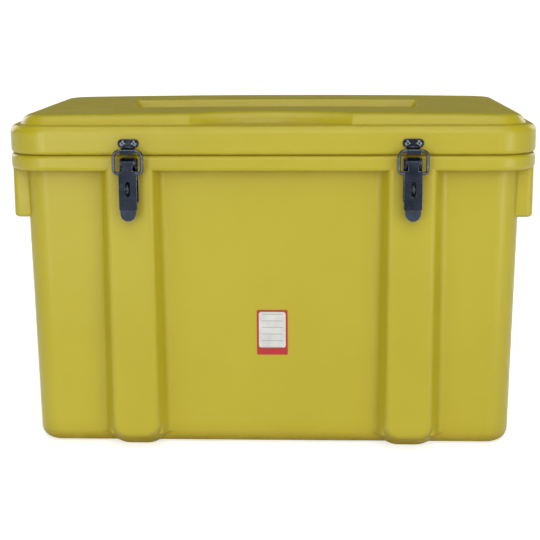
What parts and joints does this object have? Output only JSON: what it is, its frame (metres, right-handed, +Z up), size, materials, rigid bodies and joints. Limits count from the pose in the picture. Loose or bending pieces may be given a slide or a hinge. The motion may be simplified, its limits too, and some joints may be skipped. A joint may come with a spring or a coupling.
{
  "type": "tool box",
  "caption": "Moulded plastic tool chest: ribbed tub on runners, stepped lid on rear hinges, grip ledges at the ends and toggle latches with padlock eyes on the front.",
  "frame": {"origin": "on the floor under the middle of the tub", "axes": "+X to the right seen from the front, +Y to the back, +Z up"},
  "size_m": [0.8, 0.4907, 0.52],
  "materials": {
    "yellow_plastic": "smooth moulded, soft sheen",
    "zinc_steel": "zinc plated",
    "bright_steel": "zinc plated wire and pins",
    "rivet_aluminium": "plain",
    "seal_rubber": "matt"
  },
  "bodies": {
    "tub": {"tub": "yellow_plastic", "rim_seal": "seal_rubber", "left_latch_plate": "zinc_steel", "left_plate_rivets": "rivet_aluminium", "left_latch_pin": "bright_steel", "left_hinge_base_leaf": "zinc_steel", "left_hinge_base_rivets": "rivet_aluminium", "left_hinge_pin": "bright_steel", "right_latch_plate": "zinc_steel", "right_plate_rivets": "rivet_aluminium", "right_latch_pin": "bright_steel", "right_hinge_base_leaf": "zinc_steel", "right_hinge_base_rivets": "rivet_aluminium", "right_hinge_pin": "bright_steel"},
    "lid": {"lid": "yellow_plastic", "left_keeper": "zinc_steel", "left_keeper_rivets": "rivet_aluminium", "left_hinge_lid_leaf": "zinc_steel", "left_hinge_lid_rivets": "rivet_aluminium", "right_keeper": "zinc_steel", "right_keeper_rivets": "rivet_aluminium", "right_hinge_lid_leaf": "zinc_steel", "right_hinge_lid_rivets": "rivet_aluminium"},
    "left_lever": {"left_latch_lever": "zinc_steel"},
    "left_bail": {"left_latch_bail": "bright_steel"},
    "right_lever": {"right_latch_lever": "zinc_steel"},
    "right_bail": {"right_latch_bail": "bright_steel"}
  },
  "joints": [
    {"name": "lid_hinge", "type": "hinge", "parent": "tub", "child": "lid", "pos_m": [0, 0.234, 0.4585], "axis": [-1, 0, 0], "range_deg": [0, 105]},
    {"name": "left_lever_pivot", "type": "hinge", "parent": "tub", "child": "left_lever", "pos_m": [-0.211, -0.239, 0.45], "axis": [-1, 0, 0], "range_deg": [0, 120]},
    {"name": "left_bail_pivot", "type": "hinge", "parent": "left_lever", "child": "left_bail", "pos_m": [-0.211, -0.2372, 0.4331], "axis": [-1, 0, 0], "range_deg": [-79.2, 0]},
    {"name": "right_lever_pivot", "type": "hinge", "parent": "tub", "child": "right_lever", "pos_m": [0.211, -0.239, 0.45], "axis": [-1, 0, 0], "range_deg": [0, 120]},
    {"name": "right_bail_pivot", "type": "hinge", "parent": "right_lever", "child": "right_bail", "pos_m": [0.211, -0.2372, 0.4331], "axis": [-1, 0, 0], "range_deg": [-79.2, 0]}
  ],
  "couplings": [
    {"joint": "left_bail_pivot", "follows": "left_lever_pivot", "ratio": -0.66},
    {"joint": "right_bail_pivot", "follows": "right_lever_pivot", "ratio": -0.66}
  ]
}
